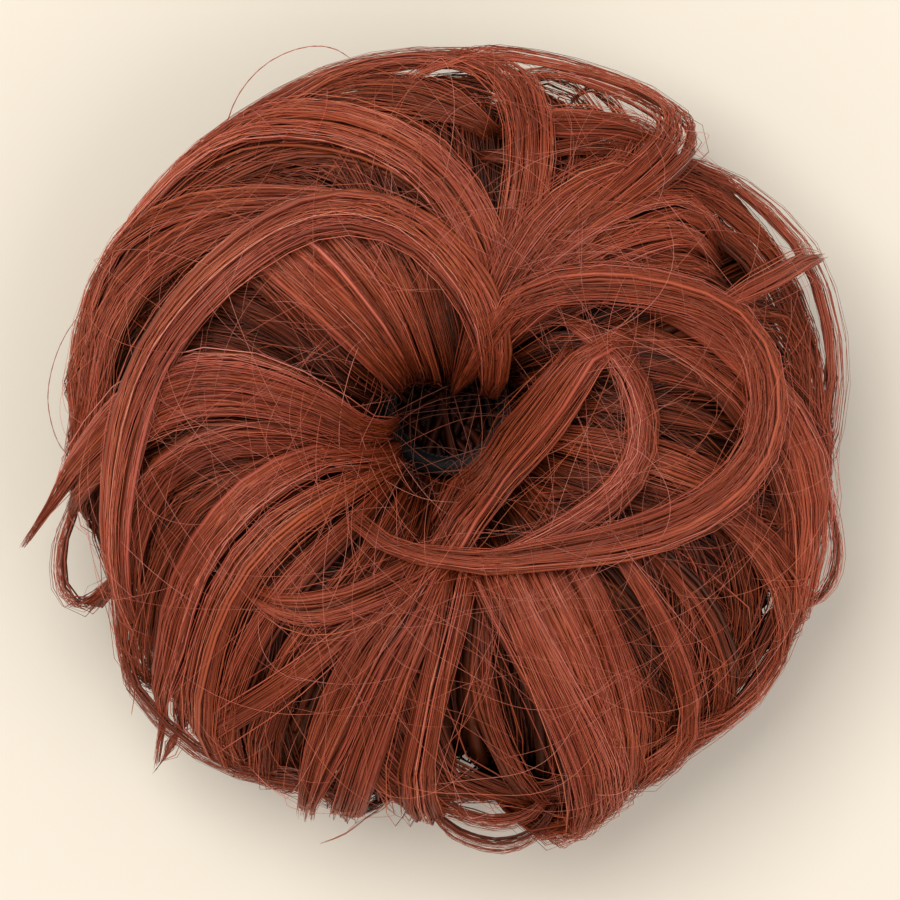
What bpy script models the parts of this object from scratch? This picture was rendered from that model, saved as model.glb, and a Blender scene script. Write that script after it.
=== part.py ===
# A messy-bun hairpiece lying flat: curled locks of copper-red hair looped out of a
# middle hole over a soft ring of hair, sewn on a weft round a black elastic.
# Metres, +Z up. The origin is on the surface it lies on, under the middle of its box.

import bmesh
import bpy
import numpy as np

# Driving dimensions of the bun
BUN_DIAMETER = 0.135  # rim of the close-lying locks, without what stands off it
BUN_HEIGHT = 0.058
HOLE_DIAMETER = 0.027  # between the close-lying locks, at its narrowest
HOLE_SHIFT = (-0.0009, 0.0076)  # the hole lies off the middle of the rim
RIM_CENTRE = (0.0025, -0.0006)  # where the middle of the rim lies from the origin

# The sewn ring
ELASTIC_LOOP_DIAMETER = 0.022  # centre line of the elastic
ELASTIC_CORD = 0.004
WEFT_HEIGHT = 0.010
WEFT_LIFT = 0.0025
WEFT_WALL = 0.0062

# How the hair lies
UNDER_THICKNESS = 0.0040
MIDDLE_THICKNESS = 0.0038
TOP_THICKNESS = 0.0034
LAYER_GAP = 0.0008
WIDEST_LOCK = 0.010
LOOSEST_STAND = 0.010  # of a loop or tuft off its own layer
SIDE_GAP = 0.0009  # between two neighbours of the under layer
SEAT_GAP = 0.0003
UNDER_STAND = 0.0042  # the most that the under layer stands off the core at the rim
STAND_UP = 6.0  # where round the tube it stands off most, in degrees above the rim
STAND_SPREAD = 34.0
UNDERSIDE_SHARE = 0.3  # of a layer's height that is left where it is tucked under
FOOT_FLAT = 0.33  # share of the core's width that lies flat on the surface
FLUTE_DEPTH = 0.0007
RIM_DIP = 0.0045  # a dent in the rim at the bottom of the bun
DIP_ANGLE = 274.0
DIP_SPREAD = 10.0

HUB = (RIM_CENTRE[0] + HOLE_SHIFT[0], RIM_CENTRE[1] + HOLE_SHIFT[1])
WEFT_INNER = ELASTIC_LOOP_DIAMETER / 2 + ELASTIC_CORD / 2 + SEAT_GAP
CORE_TOP = BUN_HEIGHT - UNDER_THICKNESS - MIDDLE_THICKNESS - TOP_THICKNESS - 3 * LAYER_GAP
CENTRE_HEIGHT = BUN_HEIGHT / 2
UNDER_FLOOR = LAYER_GAP
MIDDLE_FLOOR = UNDER_FLOOR + UNDER_THICKNESS + LAYER_GAP
TOP_FLOOR = MIDDLE_FLOOR + MIDDLE_THICKNESS + LAYER_GAP
CLOSE_OFFSET = MIDDLE_FLOOR + MIDDLE_THICKNESS

HAIR_RED = (0.30, 0.075, 0.042)
HAIR_DARK = (0.085, 0.022, 0.014)
ELASTIC_BLACK = (0.012, 0.011, 0.012)

# Angles in degrees. round: about the hole, 0 to the right, 90 to the top of the photograph.
# up: over the tube of hair, 0 at the outer rim, 90 at the crest, 180 at the hole.
# Under layer, a row for each lock: name, round at the root, crest and rim, stand (share).
UNDER_LOCKS = (
    ("under_lock_right_low", -12, -20, -26, 0.7),
    ("under_lock_right", 4, -2, -6, 0.5),
    ("under_lock_right_high", 20, 17, 13, 0.5),
    ("under_lock_top_right_low", 40, 36, 31, 0.85),
    ("under_lock_top_right", 56, 52, 50, 0.0),
    ("under_lock_top", 72, 70, 70, 0.0),
    ("under_lock_top_left", 90, 88, 91, 0.7),
    ("under_lock_upper_left_high", 108, 108, 112, 0.85),
    ("under_lock_upper_left", 126, 127, 133, 0.85),
    ("under_lock_left_high", 145, 145, 153, 0.85),
    ("under_lock_left", 165, 163, 172, 0.7),
    ("under_lock_left_low", 186, 182, 191, 0.2),
    ("under_lock_lower_left_high", 205, 200, 210, 0.7),
    ("under_lock_lower_left", 223, 220, 230, 0.85),
    ("under_lock_bottom_left", 240, 238, 245, 0.85),
    ("under_lock_bottom_middle", 257, 257, 258, 1.0),
    ("under_lock_bottom", 274, 276, 274, 0.0),
    ("under_lock_bottom_right", 293, 296, 291, 1.0),
    ("under_lock_lower_right", 312, 314, 307, 0.85),
    ("under_lock_lower_right_high", 330, 328, 321, 0.7),
)

# Locks that lie over them, a row for each: name, layer, width (share of the widest),
# root (carried down into the hole or not), tail (tucked under the rim or not), route.
# Each point of a route is round, up, stand off its layer (share of the loosest).
OVER_LOCKS = (
    ("lock_upper_left", "middle", 1.05, True, False,
     ((85, 128, 0), (89, 97, 0), (99, 77, 0), (111, 60, 0), (124, 45, 0), (134, 33, 0), (144, 26, 0))),
    ("lock_left_crown", "middle", 0.72, True, False,
     ((102, 118, 0), (116, 88, 0), (132, 67, 0), (147, 48, 0), (158, 36, 0), (168, 28, 0))),
    ("lock_left_fan", "middle", 1.15, True, False,
     ((174, 135, 0), (177, 110, 0), (181, 84, 0), (187, 58, 0), (193, 32, 0.1), (197, 14, 0.5),
      (200, 4, 1.1))),
    ("lock_long_left", "middle", 0.85, True, False,
     ((217, 138, 0), (211, 100, 0), (212, 74, 0), (217, 52, 0), (222, 30, 0.2), (227, 12, 0.5),
      (230, -3, 0.8))),
    ("lock_left_low", "middle", 0.70, False, True,
     ((200, 132, 0), (197, 102, 0), (199, 77, 0), (205, 51, 0), (211, 30, 0), (215, 12, 0))),
    ("lock_lower_left", "middle", 0.80, False, True,
     ((232, 126, 0), (228, 99, 0), (231, 73, 0), (236, 49, 0), (240, 27, 0.1), (242, 8, 0.2))),
    ("lock_bottom_middle", "middle", 0.70, False, True,
     ((273, 103, 0), (271, 80, 0), (269, 56, 0), (268, 32, 0), (270, 12, 0.1))),
    ("lock_top_left", "middle", 0.80, False, False,
     ((92, 64, 0), (97, 50, 0), (104, 36, 0), (112, 25, 0), (120, 18, 0))),
    ("lock_bottom_left", "middle", 0.80, False, True,
     ((258, 102, 0), (254, 84, 0), (251, 60, 0), (250, 34, 0.1), (250, 14, 0.4))),
    ("lock_bottom_bright", "middle", 1.15, False, True,
     ((283, 116, 0), (286, 92, 0), (290, 68, 0), (291, 44, 0.1), (290, 16, 0.5))),
    ("lock_lower_right", "middle", 0.85, False, True,
     ((318, 120, 0), (319, 98, 0), (316, 74, 0), (312, 52, 0), (307, 30, 0.1), (303, 12, 0.3))),
    ("lock_right_lower_arc", "middle", 0.85, False, True,
     ((343, 92, 0), (337, 76, 0), (334, 56, 0), (330, 36, 0), (323, 18, 0.2), (315, 6, 0.3))),
    ("lock_crossing", "middle", 0.65, False, False,
     ((34, 112, 0), (20, 122, 0), (0, 144, 0), (-28, 156, 0), (-55, 154, 0), (-78, 139, 0),
      (-94, 127, 0))),
    ("lock_right_side", "middle", 0.80, False, True,
     ((27, 94, 0), (17, 77, 0), (3, 56, 0), (-8, 38, 0), (-17, 22, 0.1), (-23, 10, 0.1))),
    ("lock_right_edge", "middle", 0.70, False, True,
     ((47, 22, 0), (38, 9, -0.11), (32, 4, -0.14), (24, -2, 0.1), (16, -6, 0.15), (8, -9, 0))),
    ("lock_top_fan", "middle", 0.75, True, False,
     ((59, 128, 0), (57, 96, 0), (54, 70, 0), (54, 46, 0), (57, 26, 0.1), (60, 12, 0.2))),
    ("lock_top_right_fan", "middle", 0.75, True, False,
     ((46, 132, 0), (40, 102, 0), (34, 74, 0), (30, 52, 0), (26, 34, 0))),
    ("lock_top", "middle", 0.66, True, False,
     ((72, 122, 0), (73, 88, 0), (75, 62, 0), (78, 38, 0), (82, 16, 0.1))),
    ("sweep_left_arc", "top", 0.58, True, True,
     ((66, 140, 0), (80, 126, 0), (97, 109, 0), (112, 95, 0), (128, 84, 0), (145, 78, 0), (162, 72, 0),
      (178, 65, 0), (190, 54, 0), (199, 38, 0.15), (208, 18, 0.5))),
    ("sweep_right_arc", "top", 0.58, True, False,
     ((50, 138, 0), (44, 112, 0), (33, 89, 0), (22, 70, 0), (8, 58, 0), (-8, 60, 0), (-22, 76, 0),
      (-34, 96, 0), (-52, 113, 0), (-72, 122, 0), (-94, 128, 0), (-112, 130, 0))),
    ("sweep_inner_arc", "top", 0.36, False, False,
     ((33, 126, -0.16), (20, 113, 0), (4, 104, 0), (-10, 101, -0.2), (-22, 106, -0.51))),
    ("loop_top_right", "top", 0.52, False, False,
     ((56, 116, -0.1), (51, 95, -0.08), (46, 72, 0), (45, 52, 0.1), (47, 34, 0.3), (51, 18, 0.2),
      (58, 8, 0.25), (67, 4, 0.25), (78, 3, 0.1), (90, 2, 0))),
    ("edge_upper_left", "middle", 0.75, False, True,
     ((94, -6, 0.1), (108, -2, 0.15), (122, 1, 0.1), (136, 2, 0), (149, 1, 0.1), (161, -2, 0.1),
      (172, -6, 0.05), (182, -10, -0.08))),
    ("tuft_right", "middle", 0.26, False, False,
     ((19, 66, -0.08), (20, 50, 0), (21.5, 32, 0.3), (22.5, 18, 0.9))),
    ("loop_left", "top", 0.30, False, False,
     ((194, 2, 0), (199, -4, 0.2), (204, -8, 0.4), (208, -12, 0.4), (210, -18, 0.2), (208, -27, -0.52))),
    ("loop_bottom", "top", 0.32, False, False,
     ((262, 2, 0), (267, -2, 0.07), (271, -4, 0.08), (277, -6, 0.3), (282, -8, 0.1), (284.8, -9, 0.02))),
    ("loop_right", "top", 0.26, False, False,
     ((4, -12, 0), (-4, -15, 0), (-12, -18, 0), (-20, -20, 0), (-28, -23, 0), (-35, -26, 0))),
)

# A lock's section, from one edge to the other and back: share of half width, share of thickness.
LOCK_SECTION = ((-1.0, 0.22), (-0.55, 0.0), (0.1, 0.0), (0.62, 0.0), (1.0, 0.22),
                (0.56, 1.0), (0.08, 0.66), (-0.5, 0.92))
ROOT_UP = 226.0  # the under locks' roots, down the hole
OVER_ROOT_UP = 214.0
TUCK_UP = -54.0
TUCK_SINK = 0.001  # a tucked end comes this much closer to its layer
THROAT_UP = 166.0  # a lock is narrow down the hole and opens from here
OPEN_UP = 92.0  # to its full width here
THROAT_WIDTH = 0.30
POINT_WIDTH = 0.12
POINT_SHARE = 0.30  # of a lock's length that runs to a point
TUCK_SHARE = 0.22
END_THICKNESS = 0.35
UNDER_END_SHARE = 0.10
UNDER_END_WIDTH = 0.35
STATION_SPACING = 0.0105
CURVE_STEPS = 24
SECTIONS_LEAST = 8
UNDER_SECTIONS = 13
CORE_AROUND = 54
RING_AROUND = 30
RING_SIDES = 8
SMALL_TURN = 1e-4


def clear_scene():
    for item in list(bpy.data.objects):
        bpy.data.objects.remove(item)


def principled(name, colour, roughness):
    made = bpy.data.materials.new(name)
    made.use_nodes = True
    shader = made.node_tree.nodes["Principled BSDF"]
    shader.inputs["Base Color"].default_value = (*colour, 1.0)
    shader.inputs["Roughness"].default_value = roughness
    shader.inputs["Metallic"].default_value = 0.0
    return made


def finish_mesh(name, shape, material):
    bmesh.ops.recalc_face_normals(shape, faces=shape.faces)
    mesh = bpy.data.meshes.new(name)
    shape.to_mesh(mesh)
    shape.free()
    mesh.shade_smooth()
    mesh.materials.append(material)
    bpy.context.scene.collection.objects.link(bpy.data.objects.new(name, mesh))


def rim_radius(around):
    """Distance from the hole's centre to the rim, a circle about another centre, with its dent."""
    east, north = HOLE_SHIFT
    along = east * np.cos(around) + north * np.sin(around)
    circle = -along + np.sqrt(along**2 - east**2 - north**2 + (BUN_DIAMETER / 2) ** 2)
    turn = np.degrees(around) - DIP_ANGLE
    turn = (turn + 180) % 360 - 180
    return circle - RIM_DIP * np.exp(-((turn / DIP_SPREAD) ** 2))


def rim_stand(up):
    """How far the hair stands off its core, most just over the rim."""
    return UNDER_STAND * np.exp(-(((np.degrees(up) - STAND_UP) / STAND_SPREAD) ** 2))


def shell_point(around, up, offset):
    """Points on the tube of hair, offset from its core; angles in radians, rows of x, y, z."""
    outer, inner = rim_radius(around), HOLE_DIAMETER / 2
    middle = (outer + inner) / 2
    wide = (outer - inner) / 2 - CLOSE_OFFSET
    high = CORE_TOP - CENTRE_HEIGHT
    low = CENTRE_HEIGHT
    in_hole = up > np.pi
    distance = middle + (wide + offset) * np.where(in_hole, -1.0, np.cos(up))
    above = (high + offset) * np.sin(up)
    below = (low + UNDERSIDE_SHARE * offset) * np.sin(up)
    height = CENTRE_HEIGHT + np.where(up >= 0, above, below)
    height = np.where(in_hole, CENTRE_HEIGHT - high * (up - np.pi), height)
    x = HUB[0] + distance * np.cos(around)
    y = HUB[1] + distance * np.sin(around)
    return np.stack([x, y, height + 0 * distance], axis=-1)


def smooth_route(points):
    """Stations at equal steps of length along a Catmull-Rom curve through a lock's route."""
    points = np.asarray(points, float)
    ends = np.vstack([2 * points[0] - points[1], points, 2 * points[-1] - points[-2]])
    share = np.linspace(0, 1, CURVE_STEPS, endpoint=False)[:, None]
    pieces = []
    for a, b, c, d in zip(ends[:-3], ends[1:-2], ends[2:-1], ends[3:]):
        pieces.append(0.5 * (2 * b + (c - a) * share + (2 * a - 5 * b + 4 * c - d) * share**2
                             + (3 * b - a - 3 * c + d) * share**3))
    curve = np.vstack([*pieces, points[-1:]])
    placed = shell_point(curve[:, 0], curve[:, 1], curve[:, 2])
    length = np.concatenate([[0], np.cumsum(np.linalg.norm(np.diff(placed, axis=0), axis=1))])
    count = max(SECTIONS_LEAST, int(round(length[-1] / STATION_SPACING)) + 1)
    at = np.linspace(0, length[-1], count)
    return np.stack([np.interp(at, length, curve[:, i]) for i in range(curve.shape[1])], axis=1)


def skin_sections(name, sections, material):
    """A closed body through rows of section points, with a face across each end."""
    shape = bmesh.new()
    rings = [[shape.verts.new(point) for point in section] for section in sections]
    count = len(rings[0])
    for ring, following in zip(rings, rings[1:]):
        for i in range(count):
            j = (i + 1) % count
            shape.faces.new((ring[i], ring[j], following[j], following[i]))
    shape.faces.new(rings[0])
    shape.faces.new(rings[-1])
    finish_mesh(name, shape, material)


def lock_section(half, rise):
    """Where a lock's section points lie: across its middle line, and above its layer's floor."""
    across = np.array([share for share, _ in LOCK_SECTION]) * half
    above = np.array([share for _, share in LOCK_SECTION]) * rise
    return across, above


def make_under_locks(material):
    """Side by side round the tube: each fills the room between its neighbours' middle lines."""
    levels = np.radians([ROOT_UP, 90.0, TUCK_UP])
    up = np.linspace(levels[0], levels[2], UNDER_SECTIONS)
    share = (up - levels[2]) / (levels[0] - levels[2])
    crest_share = (levels[1] - levels[2]) / (levels[0] - levels[2])
    middles = []
    for _, root, crest, rim, _ in UNDER_LOCKS:
        bend = np.polyfit([1.0, crest_share, 0.0], np.radians([root, crest, rim]), 2)
        middles.append(np.polyval(bend, share))
    before = [middles[-1] - 2 * np.pi, *middles[:-1]]
    after = [*middles[1:], middles[0] + 2 * np.pi]
    ends = np.clip(np.minimum(share, 1 - share) / UNDER_END_SHARE, UNDER_END_WIDTH, 1)
    for row, left, own, right in zip(UNDER_LOCKS, before, middles, after):
        sections = []
        for i in range(UNDER_SECTIONS):
            distance = np.linalg.norm(shell_point(own[i], up[i], 0.0)[:2] - HUB)
            low = ((left[i] - own[i]) / 2 + SIDE_GAP / 2 / distance) * ends[i]
            high = ((right[i] - own[i]) / 2 - SIDE_GAP / 2 / distance) * ends[i]
            rise = UNDER_THICKNESS * (END_THICKNESS + (1 - END_THICKNESS) * ends[i])
            across, above = lock_section((high - low) / 2, rise)
            around = own[i] + (low + high) / 2 + across
            offset = UNDER_FLOOR + above + row[4] * rim_stand(up[i])
            sections.append(shell_point(around, np.full(len(around), up[i]), offset))
        skin_sections(row[0], sections, material(row[0]))


def lock_widths(stations, has_root, has_tail):
    """Share of its width that a lock has at each station, and the share of its thickness."""
    share = np.linspace(0, 1, len(stations))
    if has_root:
        opening = (THROAT_UP - np.degrees(stations[:, 1])) / (THROAT_UP - OPEN_UP)
        start = THROAT_WIDTH + (1 - THROAT_WIDTH) * np.clip(opening, 0, 1)
    else:
        start = np.clip(share / POINT_SHARE, POINT_WIDTH, 1) ** 0.7
    end = np.clip((1 - share) / (TUCK_SHARE if has_tail else POINT_SHARE), POINT_WIDTH, 1) ** 0.7
    return start * end, END_THICKNESS + (1 - END_THICKNESS) * np.minimum(start, end)


def make_over_locks(material):
    """Ribbons laid along a route over the shell, each in its own layer."""
    floors = {"middle": (MIDDLE_FLOOR, MIDDLE_THICKNESS), "top": (TOP_FLOOR, TOP_THICKNESS)}
    for name, layer, width, has_root, has_tail, route in OVER_LOCKS:
        floor, thickness = floors[layer]
        points = [(np.radians(a), np.radians(u), floor + s * LOOSEST_STAND) for a, u, s in route]
        if has_root:
            points.insert(0, (points[0][0], np.radians(OVER_ROOT_UP), floor))
        if has_tail:
            onward = 2 * points[-1][0] - points[-2][0]
            points.append((onward, np.radians(TUCK_UP), points[-1][2] - TUCK_SINK))
        stations = smooth_route(points)
        widths, rises = lock_widths(stations, has_root, has_tail)
        steps = np.gradient(stations, axis=0)
        sections = []
        for (around, up, offset), step, share, rise in zip(stations, steps, widths, rises):
            offset = offset + rim_stand(up)
            here = shell_point(around, up, offset)
            per_around = np.linalg.norm(shell_point(around + SMALL_TURN, up, offset) - here) / SMALL_TURN
            per_up = np.linalg.norm(shell_point(around, up + SMALL_TURN, offset) - here) / SMALL_TURN
            ahead = np.array([step[0] * per_around, step[1] * per_up])
            ahead /= np.linalg.norm(ahead)
            across, above = lock_section(width * WIDEST_LOCK / 2 * share, thickness * rise)
            sections.append(shell_point(around - ahead[1] / per_around * across,
                                        up + ahead[0] / per_up * across, offset + above))
        skin_sections(name, sections, material(name))


def make_core(material):
    """The dense inner ring of hair: fluted above, flat where it lies on the surface."""
    flat_edge = np.arccos(FOOT_FLAT)
    low_outer = np.linspace(-flat_edge, 0, 4)[:-1]
    over = np.linspace(0, np.pi, 10)
    ledge = WEFT_LIFT + WEFT_HEIGHT
    seat = WEFT_INNER + WEFT_WALL + SEAT_GAP
    wall = HOLE_DIAMETER / 2 + CLOSE_OFFSET
    inside = ((wall, ledge + WEFT_WALL / 2), (seat, ledge), (seat, WEFT_LIFT), (wall + WEFT_WALL / 2, 0.0))
    shape = bmesh.new()
    rings = []
    for k in range(CORE_AROUND):
        around = 2 * np.pi * k / CORE_AROUND
        flute = FLUTE_DEPTH * (k % 2)
        section = [shell_point(around, up, 0.0) for up in low_outer]
        section[0][2] = 0.0
        section += [shell_point(around, up, -flute) for up in over]
        section += [(HUB[0] + r * np.cos(around), HUB[1] + r * np.sin(around), z) for r, z in inside]
        rings.append([shape.verts.new(point) for point in section])
    count = len(rings[0])
    for ring, following in zip(rings, [*rings[1:], rings[0]]):
        for i in range(count):
            j = (i + 1) % count
            shape.faces.new((ring[i], ring[j], following[j], following[i]))
    finish_mesh("hair_core", shape, material)


def make_elastic(material):
    bpy.ops.mesh.primitive_torus_add(
        major_segments=RING_AROUND, minor_segments=RING_SIDES,
        major_radius=ELASTIC_LOOP_DIAMETER / 2, minor_radius=ELASTIC_CORD / 2,
        location=(*HUB, WEFT_LIFT + WEFT_HEIGHT / 2))
    elastic = bpy.context.object
    elastic.name = elastic.data.name = "elastic_band"
    elastic.data.shade_smooth()
    elastic.data.materials.append(material)


def make_weft(material):
    """Turns of sewn weft round the elastic's outer side: an upright oval, spun about the hole."""
    shape = bmesh.new()
    turns = np.linspace(0, 2 * np.pi, RING_SIDES, endpoint=False)
    profile = [shape.verts.new((WEFT_INNER + WEFT_WALL / 2 * (1 + np.cos(a)), 0,
                                WEFT_LIFT + WEFT_HEIGHT / 2 * (1 + np.sin(a)))) for a in turns]
    edges = [shape.edges.new((a, b)) for a, b in zip(profile, [*profile[1:], profile[0]])]
    bmesh.ops.spin(shape, geom=[*profile, *edges], cent=(0, 0, 0), axis=(0, 0, 1),
                   angle=2 * np.pi, steps=RING_AROUND, use_merge=True)
    bmesh.ops.remove_doubles(shape, verts=shape.verts, dist=1e-6)
    bmesh.ops.translate(shape, verts=shape.verts, vec=(*HUB, 0))
    finish_mesh("weft_ring", shape, material)


def main():
    clear_scene()
    make_elastic(principled("elastic_band", ELASTIC_BLACK, 0.8))
    make_weft(principled("weft_ring", HAIR_DARK, 0.7))
    make_core(principled("hair_core", HAIR_DARK, 0.6))
    make_under_locks(lambda name: principled(name, HAIR_RED, 0.45))
    make_over_locks(lambda name: principled(name, HAIR_RED, 0.4))


main()
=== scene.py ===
import bpy
import numpy as np
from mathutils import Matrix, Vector


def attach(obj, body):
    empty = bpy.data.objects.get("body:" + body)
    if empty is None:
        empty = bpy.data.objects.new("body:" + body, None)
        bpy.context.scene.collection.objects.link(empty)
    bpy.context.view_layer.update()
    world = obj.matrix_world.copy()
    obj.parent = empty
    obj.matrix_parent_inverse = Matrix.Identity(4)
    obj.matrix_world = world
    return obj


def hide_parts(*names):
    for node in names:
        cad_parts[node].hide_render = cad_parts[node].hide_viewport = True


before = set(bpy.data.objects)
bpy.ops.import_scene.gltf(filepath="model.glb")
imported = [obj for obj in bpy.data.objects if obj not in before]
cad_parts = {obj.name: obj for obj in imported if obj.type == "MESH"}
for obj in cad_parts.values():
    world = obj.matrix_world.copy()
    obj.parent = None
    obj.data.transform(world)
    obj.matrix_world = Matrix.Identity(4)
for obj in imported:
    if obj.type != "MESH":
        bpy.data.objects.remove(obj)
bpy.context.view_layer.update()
print("frame loaded:", len(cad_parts), "nodes")

bun = {  # the tube of hair that every lock lies on, in metres and degrees
    "diameter": 0.135, "hole": 0.027, "coreTop": 0.0444, "middleHeight": 0.029,
    "holeShift": (-0.0009, 0.0076), "hub": (0.0016, 0.0070), "closeOffset": 0.0094,
    "standOff": 0.0042, "standUp": 6.0, "standSpread": 34.0, "underShare": 0.3,
    "rimDip": 0.0045, "dipAngle": 274.0, "dipSpread": 10.0,
    "throatFill": 0.0050, "throatDrape": 0.0070, "throatOpen": 0.0042,
    "throatFrom": 98.0, "throatTo": 160.0,
}


def rimRadius(around):
    # Distance from the hole's middle to a circle about another centre, less a dent.
    east, north = bun["holeShift"]
    along = east * np.cos(around) + north * np.sin(around)
    circle = -along + np.sqrt(along**2 - east**2 - north**2 + (bun["diameter"] / 2) ** 2)
    turn = (np.degrees(around) - bun["dipAngle"] + 180) % 360 - 180
    return circle - bun["rimDip"] * np.exp(-((turn / bun["dipSpread"]) ** 2))


def rimStand(up):
    # A bell over the rim: the most at standUp, fading with standSpread.
    return bun["standOff"] * np.exp(-(((np.degrees(up) - bun["standUp"]) / bun["standSpread"]) ** 2))


def throatLift(around, up):
    # Hair crowds into the hole: a smooth step over the inner side of the tube, most from the
    # far side (the photograph's top) and least from the near one.
    part = np.clip((np.degrees(up) - bun["throatFrom"]) / (bun["throatTo"] - bun["throatFrom"]), 0, 1)
    crowd = (bun["throatFill"] + bun["throatDrape"] * np.maximum(np.sin(around), 0) ** 2
             - bun["throatOpen"] * np.maximum(-np.sin(around), 0) ** 2)
    return crowd * part**2 * (3 - 2 * part)


def aboutHub(distance, around, height):
    # East of the hub by distance cos around, north of it by distance sin around, at a height.
    east, north = bun["hub"]
    return np.stack(np.broadcast_arrays(east + distance * np.cos(around),
                                        north + distance * np.sin(around), height), axis=-1)


def shellPoint(around, up, offset):
    # An oval tube about the hole: distance is middle + (wide + offset) cos up and height is
    # centre + (high + offset) sin up; past 180 degrees it runs straight down the hole.
    around, up, offset = np.broadcast_arrays(around, up, offset)
    outer, inner = rimRadius(around), bun["hole"] / 2
    middle, wide = (outer + inner) / 2, (outer - inner) / 2 - bun["closeOffset"]
    low = bun["middleHeight"]
    high = bun["coreTop"] - low
    inHole = up > np.pi
    distance = middle + (wide + offset) * np.where(inHole, -1.0, np.cos(up))
    rise = np.where(up >= 0, high + offset, low + bun["underShare"] * offset) * np.sin(up)
    return aboutHub(distance, around, low + np.where(inHole, -high * (up - np.pi), rise))


def unit(vectors):
    # Each vector over its own length.
    return vectors / (np.linalg.norm(vectors, axis=-1, keepdims=True) + 1e-12)


def outwards(around, up, offset, further=1e-3):
    # The way off the tube: from each place to the one a little further out.
    return unit(shellPoint(around, up, offset + further) - shellPoint(around, up, offset))


def smoothRoute(points, count, steps=24):
    # Catmull-Rom: each stretch is half of 2b + (c-a)t + (2a-5b+4c-d)t2 + (3b-a-3c+d)t3, read
    # again at equal lengths over the tube.
    points = np.asarray(points, float)
    ends = np.vstack([2 * points[0] - points[1], points, 2 * points[-1] - points[-2]])
    t = np.linspace(0, 1, steps, endpoint=False)[None, :, None]
    a, b, c, d = (ends[i:len(ends) - 3 + i][:, None] for i in range(4))
    curve = 0.5 * (2 * b + (c - a) * t + (2 * a - 5 * b + 4 * c - d) * t**2
                   + (3 * b - a - 3 * c + d) * t**3)
    curve = np.vstack([curve.reshape(-1, points.shape[1]), points[-1:]])
    placed = shellPoint(*curve[:, :3].T)
    length = np.append(0, np.cumsum(np.linalg.norm(np.diff(placed, axis=0), axis=1)))
    at = np.linspace(0, length[-1], count)
    return np.stack([np.interp(at, length, column) for column in curve.T], axis=1), length[-1]


def guideOf(points, wide, thick, count=140, tiny=1e-4):
    # A lock's middle line with, at each station, its slopes over the tube, its half width and
    # its thickness. wide and thick are functions of the stations and of the share of length.
    stations, length = smoothRoute(points, count)
    around, up, offset = stations[:, :3].T
    here = shellPoint(around, up, offset)
    perAround = np.linalg.norm(shellPoint(around + tiny, up, offset) - here, axis=1) / tiny
    perUp = np.linalg.norm(shellPoint(around, up + tiny, offset) - here, axis=1) / tiny
    step = np.gradient(stations, axis=0)
    ahead = unit(np.stack([step[:, 0] * perAround, step[:, 1] * perUp], axis=1))
    share = np.linspace(0, 1, count)
    return {"rows": np.stack([around, up, offset, -ahead[:, 1] / perAround, ahead[:, 0] / perUp,
                              wide(stations, share), thick(stations, share)]), "length": length}


def readAlong(rows, share):
    # The guide's rows at each strand's own shares of length, between two stations.
    at = np.clip(share, 0, 1) * (rows.shape[1] - 1)
    low = np.minimum(at.astype(int), rows.shape[1] - 2)
    part = at - low
    return rows[:, low] * (1 - part) + rows[:, low + 1] * part


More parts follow.
